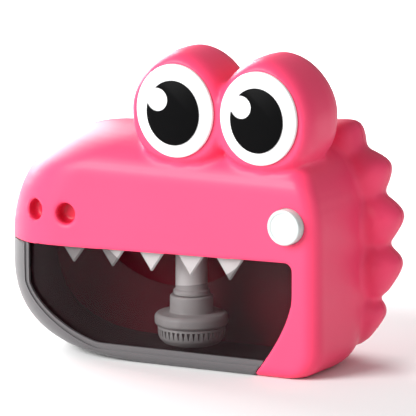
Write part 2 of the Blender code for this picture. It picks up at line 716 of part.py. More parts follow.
# ---------------------------------------------------------------- foam nozzle and blower
def make_nozzle():
    axis_point = (NOZZLE_X, NOZZLE_Y, 0)
    up = (0, 0, 1)
    tube = [
        (7.6, 37.6), (10.9, 37.6), (10.9, 40.2), (9.6, 41), (9.6, 76.6), (7.6, 76.6),
    ]
    turned("air_tube", [(r * MM, z * MM) for r, z in tube], axis_point, up, GREY, 24)
    collar = [
        (9, 19.1), (19.8, 19.1), (20.8, 18.9), (22.1, 20.2), (22.1, 24.4), (20.6, 26.4), (13.2, 26.8),
        (13, 28), (13, 36.4), (12.4, 37.2), (9, 37.2),
    ]
    turned("foam_collar", [(r * MM, z * MM) for r, z in collar], axis_point, up, GREY, 28)
    bowl = [(0, 6.6), (11, 6.6), (16.5, 8), (19.3, 11), (20.2, 14.4), (20.2, 18.6), (18.2, 18.6)]
    bowl += [(18.2, 15), (17, 11.5), (14, 9.6), (0, 9.2)]
    bowl = turned("foam_bowl", [(r * MM, z * MM) for r, z in bowl], axis_point, up, GREY, 20)
    for i in range(SLOT_COUNT):
        angle = math.tau * (i + 0.5) / SLOT_COUNT
        outward = Vector((math.cos(angle), math.sin(angle), 0))
        slot = cylinder(
            f"slot_tool_{i}", Vector((NOZZLE_X, NOZZLE_Y, 15.1 * MM)) + outward * 16 * MM, outward,
            7 * MM, 1.9 * MM, segments=4,
        )
        cut(bowl, slot)
    mesh_disc = [(0, 17.4), (17.6, 17.4), (17.6, 18.6), (0, 18.6)]
    turned("foam_mesh", [(r * MM, z * MM) for r, z in mesh_disc], axis_point, up, MESH_WHITE, 24)


def make_blower():
    axis_point = (NOZZLE_X, NOZZLE_Y, 0)
    up = (0, 0, 1)
    housing = [
        (5.4, 70), (7.2, 70), (7.2, 78), (26, 78), (26, 98), (24, 98), (24, 80), (5.4, 80),
    ]
    housing = turned("blower_housing", [(r * MM, z * MM) for r, z in housing], axis_point, up, BLACK, 28)
    for i in range(3):
        angle = math.tau * i / 3
        foot = (NOZZLE_X + 22 * MM * math.cos(angle), NOZZLE_Y + 22 * MM * math.sin(angle), 74.2 * MM)
        join(housing, cylinder(f"blower_foot_{i}", foot, up, 5 * MM, 3 * MM, segments=10))
    cover = [(3.5, 98.3), (26, 98.3), (26, 100.3), (3.5, 100.3)]
    cover = turned("blower_cover", [(r * MM, z * MM) for r, z in cover], axis_point, up, BLACK, 28)
    for i in range(6):
        angle = math.tau * (i + 0.43) / 6
        hole = (NOZZLE_X + 17 * MM * math.cos(angle), NOZZLE_Y + 17 * MM * math.sin(angle), 96 * MM)
        cut(cover, cylinder(f"intake_{i}", hole, up, 8 * MM, 3.2 * MM, segments=10))
    rotor = [(0, 82), (21, 82), (21, 83.4), (4, 83.4), (4, 95), (1, 95), (1, 108), (0, 108)]
    rotor = turned("impeller", [(r * MM, z * MM) for r, z in rotor], axis_point, up, GREY, 24)
    for i in range(8):
        turn = Matrix.Rotation(math.tau * i / 8, 4, "Z")
        blade = box(f"blade_{i}", (3.4 * MM, -0.7 * MM, 83 * MM), (20.5 * MM, 0.7 * MM, 94 * MM))
        blade.data.transform(Matrix.Translation(axis_point) @ turn)
        join(rotor, blade)
    motor = [
        (1.4, 101), (2.5, 101), (10, 101), (10, 122), (3, 122), (3, 124), (0, 124), (0, 110), (1.4, 110),
    ]
    turned("motor", [(r * MM, z * MM) for r, z in motor], axis_point, up, STEEL, 20)


def make_speaker():
    profile = [
        (0, 27.6), (8, 27.6), (8, 33), (12, 36.5), (14, 36.5), (14, 39.4), (12.4, 39.4), (6, 36.6), (0, 36.2),
    ]
    base = (CUP_X[0], 4.7 * MM, sum(CUP_Z) / 2)
    turned("speaker", [(r * MM, y * MM) for r, y in profile], base, (0, 1, 0), BLACK, 20)


# ---------------------------------------------------------------- battery bay
def make_battery_bay():
    low_x, high_x = -30 * MM, 32 * MM
    low_z, high_z = 51.2 * MM, 101 * MM
    tray = box("battery_tray", (low_x, 26.8 * MM, low_z), (high_x, 43.3 * MM, high_z), BLACK)
    room = box(
        "tray_room", (low_x + 2 * MM, 28.2 * MM, low_z + 2 * MM), (high_x - 2 * MM, 60 * MM, high_z - 2 * MM)
    )
    boss = cylinder(
        "tray_boss", (BATTERY_X, 30 * MM, 103.6 * MM), (0, 1, 0), 13.3 * MM, 3.6 * MM, segments=14
    )
    pilot = cylinder(
        "tray_pilot", (BATTERY_X, 33 * MM, 103.6 * MM), (0, 1, 0), 20 * MM, 1.6 * MM, segments=10
    )
    join(tray, boss)
    cut(tray, room, pilot)
    for i in range(3):
        make_battery(f"battery_{i + 1}", BATTERY_Z + BATTERY_PITCH * i, 1 if i % 2 == 0 else -1)
    for name, x in (("contact_left", low_x + 2.3 * MM), ("contact_right", high_x - 2.9 * MM)):
        box(name, (x, 29 * MM, low_z + 3 * MM), (x + 0.6 * MM, 42.6 * MM, high_z - 3 * MM), STEEL)
    gasket = box("cover_gasket", (low_x, 43.6 * MM, low_z), (high_x, 44.6 * MM, high_z), RUBBER)
    inner = box(
        "gasket_room", (low_x + 1.8 * MM, 40 * MM, low_z + 1.8 * MM),
        (high_x - 1.8 * MM, 50 * MM, high_z - 1.8 * MM),
    )
    cut(gasket, inner)
    cover = box(
        "battery_cover", (COVER_LOW[0], 44.9 * MM, COVER_LOW[1]),
        (COVER_HIGH[0], HALF_DEPTH, COVER_HIGH[1]), PINK,
    )
    bevel(cover, 0.4 * MM)
    well = cylinder(
        "cover_well", (BATTERY_X, 45.75 * MM, 103.6 * MM), (0, 1, 0), 10 * MM, 3.2 * MM, segments=14
    )
    way = cylinder("cover_way", (BATTERY_X, 40 * MM, 103.6 * MM), (0, 1, 0), 10 * MM, 1.8 * MM, segments=10)
    cut(cover, well, way)
    make_screw("cover_screw", (BATTERY_X, 46.9 * MM, 103.6 * MM), 2.8 * MM, 1.2 * MM, 11 * MM)


def make_battery(name, z, direction):
    body = BATTERY_LENGTH - 1.3 * MM
    radius = BATTERY_RADIUS
    profile = [(0, 0), (radius - 0.4 * MM, 0), (radius, 0.4 * MM), (radius, body - 0.4 * MM)]
    profile += [(radius - 0.4 * MM, body), (2.6 * MM, body), (2.6 * MM, BATTERY_LENGTH), (0, BATTERY_LENGTH)]
    start = (BATTERY_X - direction * BATTERY_LENGTH / 2, BATTERY_Y, z)
    turned(name, profile, start, (direction, 0, 0), BATTERY_SKIN, 16)


def make_screw(name, head_top, head_radius, shank_radius, length):
    """A pan-head screw along Y whose head faces the back."""
    profile = [
        (0, -0.8 * MM), (1.2 * MM, 0), (head_radius - 0.4 * MM, 0), (head_radius, -0.4 * MM),
        (head_radius, -1 * MM), (shank_radius, -1 * MM), (shank_radius, -length + 1 * MM),
        (0.3 * MM, -length), (0, -length),
    ]
    turned(name, profile, head_top, (0, 1, 0), STEEL, 8)


def make_case_screws():
    for i, (x, z, ledge) in enumerate(CASE_SCREWS):
        make_screw(f"case_screw_{i + 1}", (x * MM, (ledge + 1.4) * MM, z * MM), 2.8 * MM, 1.3 * MM, 16 * MM)


def make_suction_cups():
    profile = [
        (0, 42), (3.6, 42), (4.1, 43), (3.8, 44.1), (2.6, 44.1), (2.6, 47.3), (6, 47.3), (6, 50.4),
        (12, 52.4), (17, 55.6), (17, 56.6), (15, 56.6), (11, 54.6), (5, 53), (0, 52.6),
    ]
    number = 1
    for z in CUP_Z:
        for x in CUP_X:
            points = [(r * MM, y * MM) for r, y in profile]
            turned(f"suction_cup_{number}", points, (x, 0, z), (0, 1, 0), CUP_CLEAR, 14)
            number += 1


# ---------------------------------------------------------------- build
clear_scene()
PARTS = make_collection("bubble_machine")
CUTTERS = make_collection("cutters")
PINK = make_material("pink_casing", (0.90, 0.075, 0.185), 0.34)
JAW_GREY = make_material("jaw_grey", (0.42, 0.42, 0.44), 0.32)
SMOKE = make_material("smoked_tank", (0.10, 0.08, 0.09), 0.08, alpha=0.4)
MAROON = make_material("liner_maroon", (0.10, 0.012, 0.022), 0.5)
TOOTH_WHITE = make_material("tooth_grey_white", (0.62, 0.60, 0.60), 0.35)
WHITE = make_material("eye_white", (0.93, 0.93, 0.93), 0.3)
BLACK = make_material("black_plastic", (0.006, 0.006, 0.007), 0.35)
GREY = make_material("nozzle_grey", (0.50, 0.47, 0.47), 0.4)
MESH_WHITE = make_material("foam_mesh", (0.8, 0.8, 0.8), 0.7)
RUBBER = make_material("seal_rubber", (0.05, 0.05, 0.05), 0.7)
STEEL = make_material("zinc_steel", (0.62, 0.62, 0.64), 0.3, metallic=1.0)
BOARD_GREEN = make_material("board_green", (0.02, 0.16, 0.06), 0.45)
BATTERY_SKIN = make_material("battery_skin", (0.12, 0.13, 0.15), 0.35)
CUP_CLEAR = make_material("suction_vinyl", (0.75, 0.77, 0.78), 0.2, alpha=0.6)

make_front_shell()
make_rear_shell()
make_jaw_shell()
make_tank()
make_mouth_liner()
make_teeth()
make_eyes()
make_button()
make_nozzle()
make_blower()
make_speaker()
make_battery_bay()
make_case_screws()
make_suction_cups()
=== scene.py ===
import math

import bmesh
import bpy
import numpy as np
from mathutils import Matrix, Vector


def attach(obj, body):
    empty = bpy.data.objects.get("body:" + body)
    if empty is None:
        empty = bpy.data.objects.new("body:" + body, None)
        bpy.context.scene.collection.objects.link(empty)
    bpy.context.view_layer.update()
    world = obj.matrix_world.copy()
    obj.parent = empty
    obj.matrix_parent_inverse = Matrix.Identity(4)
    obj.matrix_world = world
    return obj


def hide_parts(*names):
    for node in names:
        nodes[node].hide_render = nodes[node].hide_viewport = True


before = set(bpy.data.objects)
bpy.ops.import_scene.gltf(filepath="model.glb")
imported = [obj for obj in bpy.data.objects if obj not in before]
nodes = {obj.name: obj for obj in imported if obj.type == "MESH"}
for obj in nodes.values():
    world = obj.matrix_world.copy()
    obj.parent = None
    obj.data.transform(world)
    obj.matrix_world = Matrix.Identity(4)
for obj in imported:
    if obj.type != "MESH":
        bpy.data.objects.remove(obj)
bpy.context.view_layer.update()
mm = 0.001
print("frame loaded with", len(nodes), "nodes")


# a wrapped socket, so that shader maths reads as plain sums
class Wire:
    def __init__(self, finish, socket):
        self.finish = finish
        self.socket = socket

    def work(self, operation, first, second):
        return self.finish.node("ShaderNodeMath", {"operation": operation}, {0: first, 1: second})

    def __add__(self, other):
        return self.work("ADD", self, other)

    def __radd__(self, other):
        return self.work("ADD", other, self)

    def __sub__(self, other):
        return self.work("SUBTRACT", self, other)

    def __rsub__(self, other):
        return self.work("SUBTRACT", other, self)

    def __mul__(self, other):
        return self.work("MULTIPLY", self, other)

    def __rmul__(self, other):
        return self.work("MULTIPLY", other, self)


class Finish:
    def __init__(self, name, fixed):
        self.material = bpy.data.materials.new(name)
        self.material.use_nodes = True
        self.tree = self.material.node_tree
        self.shader = self.tree.nodes["Principled BSDF"]
        for key, value in fixed.items():
            self.shader.inputs[key].default_value = value

    def plug(self, socket, value):
        if isinstance(value, Wire):
            self.tree.links.new(value.socket, socket)
        else:
            socket.default_value = value

    def node(self, kind, settings=None, sockets=None, out=0):
        made = self.tree.nodes.new(kind)
        for key, value in (settings or {}).items():
            setattr(made, key, value)
        for key, value in (sockets or {}).items():
            self.plug(made.inputs[key], value)
        return Wire(self, made.outputs[out])

    def feed(self, name, value):
        self.plug(self.shader.inputs[name], value)

    def place(self):
        return self.node("ShaderNodeTexCoord", out="Object")

    def noise(self, scale, detail=3.0, rough=0.55, stretch=None):
        where = self.place()
        if stretch:
            where = self.node("ShaderNodeVectorMath", {"operation": "MULTIPLY"}, {0: where, 1: stretch})
        sockets = {"Vector": where, "Scale": scale, "Detail": detail, "Roughness": rough}
        return self.node("ShaderNodeTexNoise", None, sockets)

    def blendColours(self, factor, first, second):
        sockets = {0: factor, 6: first, 7: second}
        return self.node("ShaderNodeMix", {"data_type": "RGBA"}, sockets, out=2)

    def bump(self, height, strength, distance):
        sockets = {"Height": height, "Strength": strength, "Distance": distance}
        self.feed("Normal", self.node("ShaderNodeBump", None, sockets))


def rgba(colour):
    return (*colour, 1.0)


def mouldedPlastic(name, look):
    finish = Finish(name, {
        "Specular IOR Level": look.get("specular", 0.5),
        "Alpha": look.get("alpha", 1.0),
    })
    cloud = finish.noise(look.get("cloud", 14), 2.0)
    tone = finish.blendColours(cloud, rgba(look["colour"]), rgba(look["shade"]))
    # painted shade: inside each nostril pit the colour blends towards a darker red, standing in for the shade
    # that falls in the pit
    for pit in look.get("pits", ()):
        away = finish.node("ShaderNodeVectorMath", {"operation": "DISTANCE"},
                           {0: finish.place(), 1: tuple(c * mm for c in pit)}, out=1)
        rim, core = look["pitRim"] * mm, look["pitCore"] * mm
        inside = finish.node("ShaderNodeMapRange", None, {0: away, 1: rim, 2: core, 3: 0.0, 4: 1.0})
        tone = finish.blendColours(inside, tone, rgba(look["pitShadeColour"]))
    finish.feed("Base Color", tone)
    polish = finish.noise(55, 3.0)
    finish.feed("Roughness", look["rough"] + (polish - 0.5) * look.get("spread", 0.1))
    grain = finish.noise(1500, 2.0, 0.5)
    wave = finish.noise(22, 1.0, 0.4)
    finish.bump(grain * 0.25 + wave * 0.75, look.get("relief", 0.08), 0.0005)
    return finish.material


looks = {
    # the casing's pit entries paint a darker red into the two nostril pits as painted shade
    "casing": {"colour": (0.92, 0.064, 0.165), "shade": (0.89, 0.056, 0.15), "rough": 0.42,
               "spread": 0.08, "relief": 0.06, "specular": 0.3,
               "pits": ((-61, -41, 86.5), (-82, -38.5, 86.5)), "pitShadeColour": (0.6, 0.014, 0.05),
               "pitRim": 8.8, "pitCore": 6.2},
    # painted reflection: the jaw band's opaque grey stands in for the bright surroundings seen in the clear
    # tank's rounded edge
    "jaw": {"colour": (0.115, 0.108, 0.112), "shade": (0.1, 0.094, 0.098), "rough": 0.34, "spread": 0.1,
            "specular": 0.35},
    "smoke": {"colour": (0.02, 0.006, 0.008), "shade": (0.012, 0.004, 0.005), "rough": 0.12,
              "spread": 0.03, "alpha": 0.24, "relief": 0.02, "specular": 0.3},
    # painted shade: the mouth liner is a darker, deeper red than the casing, standing in for the shade inside
    # the mouth
    "maroonShade": {"colour": (0.55, 0.02, 0.055), "shade": (0.45, 0.016, 0.045), "rough": 0.5, "specular": 0.2},
    "tooth": {"colour": (0.43, 0.41, 0.41), "shade": (0.4, 0.38, 0.38), "rough": 0.3},
    "eyeWhite": {"colour": (0.9, 0.9, 0.9), "shade": (0.86, 0.86, 0.87), "rough": 0.28, "relief": 0.03},
    "gloss": {"colour": (0.0015, 0.0015, 0.002), "shade": (0.002, 0.002, 0.002), "rough": 0.4,
              "spread": 0.04, "relief": 0.02, "specular": 0.05},
    "matteBlack": {"colour": (0.02, 0.02, 0.022), "shade": (0.012, 0.012, 0.013), "rough": 0.5},
    "nozzle": {"colour": (0.5, 0.475, 0.475), "shade": (0.45, 0.43, 0.43), "rough": 0.38},
    "button": {"colour": (0.6, 0.65, 0.64), "shade": (0.57, 0.62, 0.61), "rough": 0.3, "relief": 0.03},
    "rubber": {"colour": (0.03, 0.03, 0.032), "shade": (0.05, 0.05, 0.05), "rough": 0.75, "relief": 0.2},
    "vinyl": {"colour": (0.72, 0.76, 0.78), "shade": (0.66, 0.7, 0.73), "rough": 0.16, "alpha": 0.5,
              "relief": 0.03},
    "board": {"colour": (0.01, 0.12, 0.045), "shade": (0.02, 0.18, 0.07), "rough": 0.4, "cloud": 500},
}
finishes = {key: mouldedPlastic(key + "Plastic", look) for key, look in looks.items()}


def brushedMetal(name, look):
    finish = Finish(name, {"Metallic": 1.0})
    streak = finish.noise(look["streak"], 4.0, 0.6, (1.0, 1.0, 14.0))
    finish.feed("Base Color", finish.blendColours(streak, rgba(look["colour"]), rgba(look["shade"])))
    finish.feed("Roughness", look["rough"] + streak * 0.18)
    finish.bump(streak, 0.15, 0.0002)
    return finish.material


finishes["steel"] = brushedMetal(
    "zincSteel", {"colour": (0.62, 0.62, 0.64), "shade": (0.45, 0.45, 0.47), "rough": 0.22, "streak": 300}
)


def wovenMesh(name, look):
    finish = Finish(name, {"Specular IOR Level": 0.3})
    across = finish.node("ShaderNodeTexWave", {"bands_direction": "X"},
                         {"Vector": finish.place(), "Scale": look["pitch"]}, out=1)
    along = finish.node("ShaderNodeTexWave", {"bands_direction": "Y"},
                        {"Vector": finish.place(), "Scale": look["pitch"]}, out=1)
    weave = across * along
    finish.feed("Base Color", finish.blendColours(weave, rgba(look["shade"]), rgba(look["colour"])))
    finish.feed("Roughness", 0.8 - weave * 0.2)
    finish.bump(weave, 0.4, 0.0004)
    return finish.material


finishes["mesh"] = wovenMesh("foamMesh", {"colour": (0.8, 0.8, 0.8), "shade": (0.3, 0.3, 0.3), "pitch": 400})


def batterySkin(name, look):
    finish = Finish(name, {"Specular IOR Level": 0.6})
    split = finish.node("ShaderNodeSeparateXYZ", None, {0: finish.place()})
    band = finish.node("ShaderNodeMath", {"operation": "GREATER_THAN"}, {0: split, 1: look["bandX"] * mm})
    finish.feed("Base Color", finish.blendColours(band, rgba(look["colour"]), rgba(look["band"])))
    polish = finish.noise(90, 3.0)
    finish.feed("Roughness", look["rough"] + polish * 0.15)
    finish.bump(polish, 0.05, 0.0003)
    return finish.material


finishes["battery"] = batterySkin(
    "batterySkin", {"colour": (0.05, 0.055, 0.065), "band": (0.55, 0.32, 0.08), "bandX": 14, "rough": 0.3}
)
print("finishes made:", len(finishes))


# a shape is a pair of (points, faces) in millimetres
def loftShape(rings):
    count = len(rings[0])
    points = [point for ring in rings for point in ring]
    faces = [tuple(reversed(range(count)))]
    for row in range(len(rings) - 1):
        for i in range(count):
            j = (i + 1) % count
            low, high = row * count, (row + 1) * count
            faces.append((low + i, low + j, high + j, high + i))
    faces.append(tuple(range(len(points) - count, len(points))))
    return points, faces


def prismShape(outline, nearY, farY):
    return loftShape([[(x, y, z) for x, z in outline] for y in (nearY, farY)])


def boxShape(low, high):
    (x0, y0, z0), (x1, y1, z1) = low, high
    return prismShape([(x0, z0), (x1, z0), (x1, z1), (x0, z1)], y0, y1)


def axisTurn(axis):
    return Vector((0, 0, 1)).rotation_difference(Vector(axis)).to_matrix().to_4x4()


def turnedShape(profile, base, axis, steps=64):
    # closed (radius, height) profile about an axis; points on the axis are shared
    turn = Matrix.Translation(base) @ axisTurn(axis)
    points, rows = [], []
    for radius, height in profile:
        row = []
        for i in range(1 if radius < 1e-6 else steps):
            angle = math.tau * i / steps
            row.append(len(points))
            points.append(tuple(turn @ Vector((radius * math.cos(angle), radius * math.sin(angle), height))))
        rows.append(row)
    faces = []
    for first, second in zip(rows, rows[1:] + rows[:1]):
        if len(first) == 1 and len(second) == 1:
            continue
        for i in range(steps):
            j = (i + 1) % steps
            if len(first) == 1:
                faces.append((first[0], second[j], second[i]))
            elif len(second) == 1:
                faces.append((first[i], first[j], second[0]))
            else:
                faces.append((first[i], first[j], second[j], second[i]))
    return points, faces


def rodShape(start, axis, length, radius, steps=48):
    return turnedShape([(0, 0), (radius, 0), (radius, length), (0, length)], start, axis, steps)


def softened(profile, radius, count=3):
    # rounds each corner of a closed flat outline that is off the axis, clear of its neighbours
    result = []
    for i, corner in enumerate(profile):
        here = Vector(corner)
        before, after = Vector(profile[i - 1]), Vector(profile[(i + 1) % len(profile)])
        if here.x < 1e-6:
            result.append(tuple(here))
            continue
        reach = min(radius, (before - here).length * 0.45, (after - here).length * 0.45)
        start, end = here + (before - here).normalized() * reach, here + (after - here).normalized() * reach
        for step in range(count + 1):
            share = step / count
            one = start.lerp(here, share)
            result.append(tuple(one.lerp(here.lerp(end, share), share)))
    return result


def makePiece(name, *shapes):
    points, faces = [], []
    for shapePoints, shapeFaces in shapes:
        shift = len(points)
        points += shapePoints
        faces += [tuple(i + shift for i in face) for face in shapeFaces]
    mesh = bpy.data.meshes.new(name)
    mesh.from_pydata([(x * mm, y * mm, z * mm) for x, y, z in points], [], faces)
    piece = bpy.data.objects.new(name, mesh)
    bpy.context.scene.collection.objects.link(piece)
    faceOutward(piece)
    return piece


def faceOutward(piece):
    bm = bmesh.new()
    bm.from_mesh(piece.data)
    bmesh.ops.recalc_face_normals(bm, faces=bm.faces)
    bm.to_mesh(piece.data)
    bm.free()


def settle(piece):
    graph = bpy.context.evaluated_depsgraph_get()
    mesh = bpy.data.meshes.new_from_object(piece.evaluated_get(graph))
    piece.modifiers.clear()
    piece.data = mesh
    return piece


def carve(piece, tool, operation="DIFFERENCE"):
    step = piece.modifiers.new("carve", "BOOLEAN")
    step.operation = operation
    step.solver = "EXACT"
    step.object = tool
    settle(piece)
    bpy.data.objects.remove(tool, do_unlink=True)


def remesh(piece, voxel):
    step = piece.modifiers.new("remesh", "REMESH")
    step.mode = "VOXEL"
    step.voxel_size = voxel * mm
    return settle(piece)


def copyOf(piece, name):
    twin = bpy.data.objects.new(name, piece.data.copy())
    bpy.context.scene.collection.objects.link(twin)
    return twin


def relax(piece, rounds, creasesOnly=False):
    # even rounds pull in and odd rounds push back, so the form keeps its size;
    # with creasesOnly it fills inner corners and leaves the rest
    mesh = piece.data
    count = len(mesh.vertices)
    spots = np.empty(count * 3)
    mesh.vertices.foreach_get("co", spots)
    spots = spots.reshape(-1, 3)
    ends = np.empty(len(mesh.edges) * 2, np.int64)
    mesh.edges.foreach_get("vertices", ends)
    ends = ends.reshape(-1, 2)
    degree = np.bincount(ends.ravel(), minlength=count).clip(1)[:, None]
    normals = np.empty(count * 3)
    one, other = ends[:, 0], ends[:, 1]
    for turn in range(rounds):
        total = np.stack([
            np.bincount(one, spots[other, k], count) + np.bincount(other, spots[one, k], count)
            for k in range(3)
        ], 1)
        pull = total / degree - spots
        if creasesOnly:
            if turn % 4 == 0:
                mesh.vertices.foreach_set("co", spots.ravel())
                mesh.update()
                mesh.vertex_normals.foreach_get("vector", normals)
            inner = (pull * normals.reshape(-1, 3)).sum(1, keepdims=True) > 0
            spots = spots + pull * 0.6 * inner
        else:
            spots = spots + pull * (0.5 if turn % 2 == 0 else -0.51)
    mesh.vertices.foreach_set("co", spots.ravel())
    mesh.update()
    return piece


def dress(piece, finish, body, slot, *replaced, sharp=32):
    piece.data.materials.clear()
    piece.data.materials.append(finishes[finish])
    piece.data.shade_smooth()
    piece.data.set_sharp_from_angle(angle=math.radians(sharp))
    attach(piece, body)
    if replaced:
        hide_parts(*replaced)
    return piece


cameraView = {"azimuth": 28.0, "elevation": 11.0, "distance": 5.0, "lens": 725.0, "target": (10.8, 0, 88.5)}


def placeCamera(view):
    camera = bpy.data.objects.new("camera", bpy.data.cameras.new("camera"))
    bpy.context.scene.collection.objects.link(camera)
    turn, tilt = math.radians(view["azimuth"]), math.radians(view["elevation"])
    back = Vector((math.sin(turn) * math.cos(tilt), -math.cos(turn) * math.cos(tilt), math.sin(tilt)))
    camera.location = Vector(view["target"]) * mm + back * view["distance"]
    camera.rotation_euler = (-back).to_track_quat("-Z", "Y").to_euler()
    camera.data.sensor_width = 36
    camera.data.lens = view["lens"]
    bpy.context.scene.camera = camera


placeCamera(cameraView)

studio = {
    "world": 0.34,
    "sun": {"toward": (-0.45, -0.78, 0.43), "strength": 4.3, "spread": 40.0},
    "softboxes": {
        "rimBox": {"from": (-1.05, 0.65, 0.55), "size": (0.9, 0.7), "power": 28.0},
        "fillBox": {"from": (1.5, -0.6, 0.6), "size": (0.8, 1.0), "power": 2.0},
    },
    "aim": (0.0, 0.0, 0.09),
    "floor": (0.9, 0.9, 0.9),
    "floorShade": (0.88, 0.88, 0.88),
    "floorRadius": 8.0,
}


def lightStudio(studio):
    world = bpy.data.worlds.new("studio")
    world.use_nodes = True
    world.node_tree.nodes["Background"].inputs["Color"].default_value = (1, 1, 1, 1)
    world.node_tree.nodes["Background"].inputs["Strength"].default_value = studio["world"]
    bpy.context.scene.world = world
    sun = bpy.data.objects.new("keySun", bpy.data.lights.new("keySun", "SUN"))
    sun.data.energy = studio["sun"]["strength"]
    sun.data.angle = math.radians(studio["sun"]["spread"])
    sun.rotation_euler = (-Vector(studio["sun"]["toward"])).to_track_quat("-Z", "Y").to_euler()
    bpy.context.scene.collection.objects.link(sun)
    for name, box in studio["softboxes"].items():
        lamp = bpy.data.lights.new(name, "AREA")
        lamp.shape = "RECTANGLE"
        lamp.size, lamp.size_y = box["size"]
        lamp.energy = box["power"]
        spot = bpy.data.objects.new(name, lamp)
        spot.location = box["from"]
        toward = Vector(studio["aim"]) - Vector(box["from"])
        spot.rotation_euler = toward.to_track_quat("-Z", "Y").to_euler()
        spot.visible_camera = False
        bpy.context.scene.collection.objects.link(spot)
    bpy.context.scene.view_settings.view_transform = "Standard"


def makeFloor(studio):
    reach = studio["floorRadius"] / mm
    rim = [(reach * math.cos(math.tau * i / 96), reach * math.sin(math.tau * i / 96), 0) for i in range(96)]
    floor = makePiece("floor", (rim, [tuple(range(96))]))
    paper = Finish("palePaper", {"Roughness": 0.85, "Specular IOR Level": 0.15})
    tone = paper.noise(2.0, 2.0)
    paper.feed("Base Color", paper.blendColours(tone, rgba(studio["floor"]), rgba(studio["floorShade"])))
    floor.data.materials.append(paper.material)


lightStudio(studio)
makeFloor(studio)
print("camera, light and floor placed")


head = {
    "halfDepth": 47, "wall": 2.5, "gap": 0.3, "seamY": 26,
    "snoutCentre": -36, "snoutReach": 79, "snoutWidestZ": 65.8, "chinZ": 56.4,
    "napeCentre": 47, "napeReach": 60.6, "napeZ": 75.2, "napeFoot": 17,
    "crownZ": 138.2, "topEdgeZ": 112, "footRadius": 6,
    "snoutRadius": 47, "frontRadius": 10, "backRadius": 35,
    "heelZ": 36, "heelGrowth": 22, "heelPower": 0.8,
}
bulge = {
    "x": (14.1, 69.8), "z": 154, "halfWidth": 33, "rise": 36.6, "drop": 33, "frontY": -46.5, "crownY": -18,
    "backY": 15, "frontReach": 32, "frontPower": 5, "topPower": 1.8, "footPower": 2.5,
}
spikes = {
    "tips": ((97.5, 143.5, 52), (118.5, 120.0, 24), (127.3, 90.4, 12), (126.6, 61.8, 12), (115.8, 31.6, 8)),
    "taper": 0.75, "tipRounding": 5.5, "halfDepth": 14.5, "dome": 16, "baseRadius": 18,
    "stations": ((0.15, 0.15), (0.6, 0.6), (1.4, 1.4), (2.4, 2.4), (4, 4), (6, 6), (8, 8), (10.5, 10.5),
                 (13, 13), (16.5, 15.2), (20, 17), (27, 15), (34, 12)),
}
mouth = {
    "z": 67.3, "zAtX": -30, "slope": 0.025, "right": 91.2, "corner": 5,
    "curveZ": 50, "curveDrop": 23.5, "curveSpan": 47, "curvePower": 1.58,
}


def quarter(share, power):
    return max(0.0, 1 - min(1.0, share) ** power) ** (1 / power)


def snoutEdge(z, inset):
    reach = head["snoutReach"] - inset
    if z > head["snoutWidestZ"]:
        share = (z - head["snoutWidestZ"]) / (head["crownZ"] - head["snoutWidestZ"] - inset)
        return head["snoutCentre"] - reach * quarter(share, 2.2)
    share = max(0.0, head["chinZ"] - z) / (head["chinZ"] - inset)
    return head["snoutCentre"] - reach * quarter(share, 2.6)


def napeEdge(z, inset):
    reach = head["napeReach"] - inset
    if z > head["napeZ"]:
        share = (z - head["napeZ"]) / (head["crownZ"] - head["napeZ"] - inset)
        return head["napeCentre"] + reach * quarter(share, 3)
    if z < head["napeFoot"]:
        radius = head["napeFoot"] - inset
        share = (head["napeFoot"] - z) / radius
        return head["napeCentre"] + head["napeReach"] - head["napeFoot"] + radius * quarter(share, 2)
    return head["napeCentre"] + reach


def halfDepth(z, inset):
    if z > head["topEdgeZ"]:
        share = (z - head["topEdgeZ"]) / (head["crownZ"] - head["topEdgeZ"] - inset)
        return (head["halfDepth"] - inset) * quarter(share, 2)
    if z < head["footRadius"]:
        radius = head["footRadius"] - inset
        return head["halfDepth"] - head["footRadius"] + radius * quarter((head["footRadius"] - z) / radius, 2)
    return head["halfDepth"] - inset


def arcPoints(centre, radiusX, radiusZ, start, end, count):
    turns = [math.radians(start + (end - start) * i / count) for i in range(count + 1)]
    return [(centre[0] + radiusX * math.cos(a), centre[1] + radiusZ * math.sin(a)) for a in turns]


def casingSection(z, inset):
    left, right, depth = snoutEdge(z, inset), napeEdge(z, inset), halfDepth(z, inset)
    flat = depth / (head["halfDepth"] - inset)
    snout = head["snoutRadius"] - inset
    heel = head["heelGrowth"] * max(0.0, 1 - z / head["heelZ"]) ** head["heelPower"]
    front, back = head["frontRadius"] - inset, head["backRadius"] + heel - inset
    points = arcPoints((left + snout, 0), snout, depth, 90, 270, 48)
    points += arcPoints((right - front, -depth + front * flat), front, front * flat, -90, 0, 10)
    points += arcPoints((right - back, depth - back * flat), back, back * flat, 0, 90, 16)
    return [(x, y, z) for x, y in points]


def casingShape(inset):
    radius = head["footRadius"] - inset
    foot = [head["footRadius"] - radius * math.cos(math.radians(a)) for a in range(0, 91, 15)]
    side = [8, 10, 12, 14, 17, 20, 24, 29, 35, 42, 50, 57, 62, 66, 70, 76, 83, 91, 99, 106]
    rise = head["crownZ"] - head["topEdgeZ"] - inset
    climb = (0, 8, 16, 24, 32, 40, 48, 56, 63, 70, 76, 81, 85, 88)
    top = [head["topEdgeZ"] + rise * math.sin(math.radians(a)) for a in climb]
    return loftShape([casingSection(z, inset) for z in foot + side + top])


